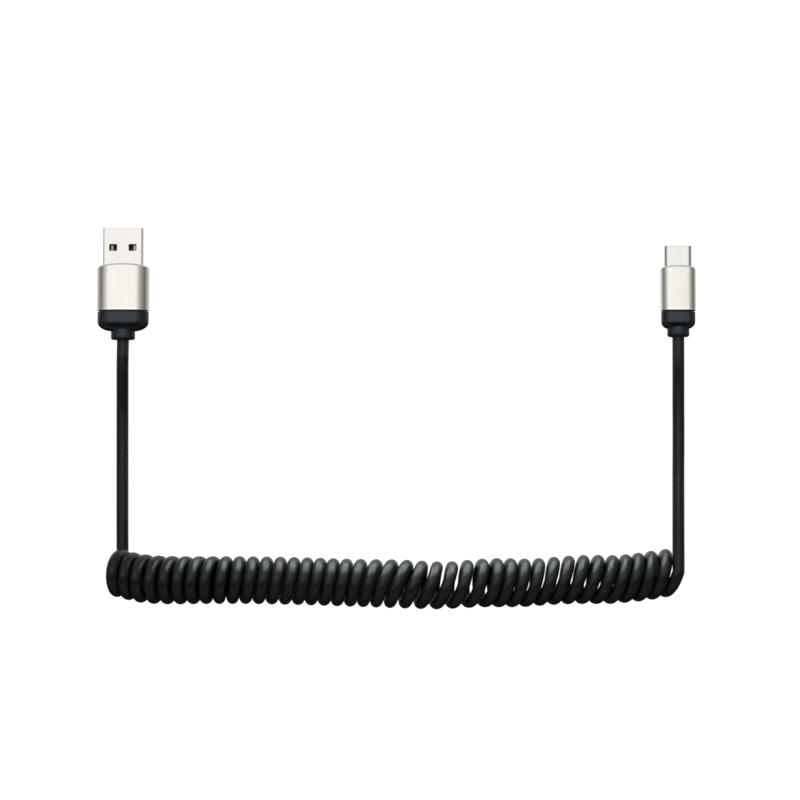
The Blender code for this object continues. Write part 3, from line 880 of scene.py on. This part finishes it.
def add_world():
    """Bright overhead and dim at the horizon. The near side is dark, but for a band near the horizon."""
    tent = Tent()
    # Rays then find the tent by themselves, and the flags, which only throw shadows, don't shade it
    tent.world.cycles.sampling_method = "NONE"
    right = tent.step(tent.x, *TENT_SIDES, 0.0, 1.0)
    sides = tent.blend(right, tent.profile(TENT_LEFT), tent.profile(TENT_RIGHT))
    near = tent.step(tent.y, *TENT_NEAR, 1.0 - TENT_NEAR_SHARE, 0.0)
    high = tent.step(tent.z, *TENT_NEAR_HIGH, 0.0, 1.0)
    low = tent.step(tent.z, *TENT_NEAR_LOW, 1.0, 0.0)
    kept = tent.math("SUBTRACT", 1.0, tent.math("MULTIPLY", near, tent.math("ADD", high, low)))
    far = tent.step(tent.y, *TENT_FAR, 0.0, TENT_FAR_EXTRA)
    tent.finish(tent.math("ADD", far, tent.math("MULTIPLY", sides, kept)))


def add_softbox(name, place):
    """A softbox that lights the cable only."""
    centre, tilt, height, power = place
    light = bpy.data.lights.new(name, "AREA")
    light.shape = "RECTANGLE"
    light.size = SOFTBOX_WIDTH
    light.size_y = height
    light.energy = power
    light.color = SOFTBOX_COLOR
    softbox = bpy.data.objects.new(name, light)
    softbox.location = centre
    softbox.rotation_euler = (tilt, 0.0, 0.0)
    softbox.visible_camera = False
    # Its light then comes by shadow rays alone, and the flags stop those for gloss too
    light.cycles.use_multiple_importance_sampling = False
    bpy.context.scene.collection.objects.link(softbox)
    lit = bpy.data.collections.new(f"lit_by_the_{name}")
    lit.objects.link(bpy.data.objects["cable"])
    softbox.light_linking.receiver_collection = lit


def add_flags():
    """Cards that nothing sees and that only throw their shadows."""
    black = Surface("black_card", (0.0, 0.0, 0.0), 1.0, specular=0.0).material
    for number, ends in enumerate(FLAGS_MM, 1):
        (x1, y1), (x2, y2) = [(x * MM, y * MM) for x, y in ends]
        corners = [(x1, y1, FLAG_LOW), (x2, y2, FLAG_LOW), (x2, y2, FLAG_HIGH), (x1, y1, FLAG_HIGH)]
        mesh = bpy.data.meshes.new(f"flag_{number}")
        mesh.from_pydata(corners, [], [(0, 1, 2, 3)])
        mesh.materials.append(black)
        flag = bpy.data.objects.new(f"flag_{number}", mesh)
        flag.visible_camera = False
        flag.visible_diffuse = False
        flag.visible_glossy = False
        bpy.context.scene.collection.objects.link(flag)


def main():
    add_camera()
    add_cable(jacket_material())

    warm_nickel = shell_material("warm_nickel", WARM_NICKEL)
    pale_nickel = shell_material("pale_nickel", PALE_NICKEL)
    metals = (satin_material(), polished_material())
    rubber = boot_material()
    plastic = insulator_material()
    gold = contact_material()
    add_usb_a_shell(warm_nickel)
    add_usb_a_inside(plastic, gold)
    add_sleeve(
        "usb_a_sleeve_metal", "usb_a_sleeve", "usb_a_shell", A_SLEEVE_CORNER, A_SLEEVE_CROWN,
        A_SLEEVE_FRONT_WALL, A_SHELL_CORNER, metals,
    )
    add_boot("usb_a_boot_moulded", "usb_a_boot", "usb_a_sleeve", A_SLEEVE_CORNER, A_CAP, A_COLLAR, rubber)

    c_corner = half_sizes(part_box("usb_c_shell"))[1]
    add_shell("usb_c_shell_metal", "usb_c_shell", c_corner, C_SHELL_WALL, C_TIP_ROUND, pale_nickel)
    add_usb_c_inside(plastic, gold)
    add_sleeve(
        "usb_c_sleeve_metal", "usb_c_sleeve", "usb_c_shell", C_SLEEVE_CORNER, C_SLEEVE_CROWN,
        C_SLEEVE_FRONT_WALL, c_corner, metals,
    )
    add_boot("usb_c_boot_moulded", "usb_c_boot", "usb_c_sleeve", C_SLEEVE_CORNER, C_CAP, C_COLLAR, rubber)

    add_floor()
    add_world()
    add_softbox("far_softbox", FAR_SOFTBOX)
    add_softbox("near_softbox", NEAR_SOFTBOX)
    add_flags()
    bpy.context.scene.view_settings.view_transform = "Standard"


main()
